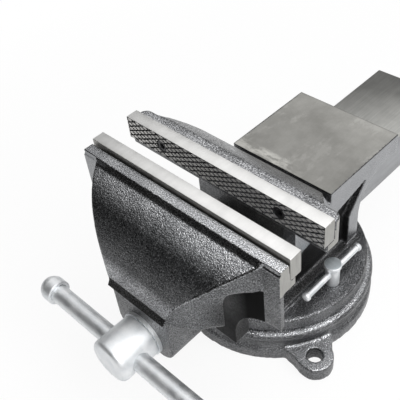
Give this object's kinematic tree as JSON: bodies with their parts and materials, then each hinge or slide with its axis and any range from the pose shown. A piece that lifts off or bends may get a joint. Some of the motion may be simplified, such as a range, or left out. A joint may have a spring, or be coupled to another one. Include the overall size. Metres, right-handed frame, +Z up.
{
  "type": "bench vise",
  "caption": "Swivel bench vise: hooded front jaw on a hollow slide, cross-cut jaw plates, anvil behind the fixed jaw, screw spindle with a bar handle, turntable with T-bar lock bolts.",
  "frame": {"origin": "on the bench under the swivel axis, at the centre of the bench bolts' circle", "axes": "+X along the jaws to the right, +Y from the front jaw to the slide's tail, +Z up"},
  "size_m": [0.2332, 0.4122, 0.184],
  "materials": {
    "hammertone_casting": "black hammertone paint with silver flecks, machined on the anvil, slide and jaw ends",
    "ground_steel": "ground, with cross-cut gripping faces",
    "zinc_plate": "bright zinc plate",
    "plain_steel": "plain dark steel",
    "nut_bronze": "machined bronze"
  },
  "bodies": {
    "base": {"swivel_base": "hammertone_casting"},
    "turntable": {"fixed_body": "hammertone_casting", "rear_jaw_plate": "ground_steel", "rear_jaw_screws": "plain_steel", "spindle_nut": "nut_bronze", "nut_washer": "zinc_plate", "nut_bolt": "zinc_plate", "left_clamp_nut": "plain_steel", "right_clamp_nut": "plain_steel"},
    "moving_jaw": {"front_jaw": "hammertone_casting", "front_jaw_plate": "ground_steel", "front_jaw_screws": "plain_steel"},
    "screw": {"spindle": "zinc_plate", "thrust_washer": "zinc_plate", "return_spring": "plain_steel", "spring_washer": "zinc_plate", "split_pin": "plain_steel"},
    "handle": {"handle_bar": "zinc_plate", "handle_cap_left": "zinc_plate", "handle_cap_right": "zinc_plate"},
    "left_lock": {"left_lock_bolt": "zinc_plate"},
    "right_lock": {"right_lock_bolt": "zinc_plate"},
    "left_t_bar": {"left_lock_bar": "zinc_plate"},
    "right_t_bar": {"right_lock_bar": "zinc_plate"}
  },
  "joints": [
    {"name": "swivel_turn", "type": "hinge", "parent": "base", "child": "turntable", "pos_m": [0, 0, 0.032], "axis": [0, 0, 1], "continuous": true},
    {"name": "jaw_slide", "type": "slide", "parent": "turntable", "child": "moving_jaw", "axis": [0, 1, 0], "range_m": [-0.175, 0.025]},
    {"name": "spindle_turn", "type": "hinge", "parent": "moving_jaw", "child": "screw", "pos_m": [0, -0.1562, 0.076], "axis": [0, 1, 0], "range_deg": [-10490, 1495]},
    {"name": "handle_slide", "type": "slide", "parent": "screw", "child": "handle", "axis": [1, 0, 0], "range_m": [-0.0905, 0.0645]},
    {"name": "left_lock_turn", "type": "hinge", "parent": "turntable", "child": "left_lock", "pos_m": [-0.0675, 0, 0.046], "axis": [0, 0, 1], "range_deg": [-10, 10]},
    {"name": "right_lock_turn", "type": "hinge", "parent": "turntable", "child": "right_lock", "pos_m": [0.0675, 0, 0.046], "axis": [0, 0, 1], "range_deg": [-10, 10]},
    {"name": "left_t_bar_slide", "type": "slide", "parent": "left_lock", "child": "left_t_bar", "axis": [0, 1, 0], "range_m": [-0.027, 0.027]},
    {"name": "right_t_bar_slide", "type": "slide", "parent": "right_lock", "child": "right_t_bar", "axis": [0, 1, 0], "range_m": [-0.027, 0.027]}
  ],
  "couplings": [
    {"joint": "jaw_slide", "follows": "spindle_turn", "m_per_rad": 0.00095493}
  ]
}
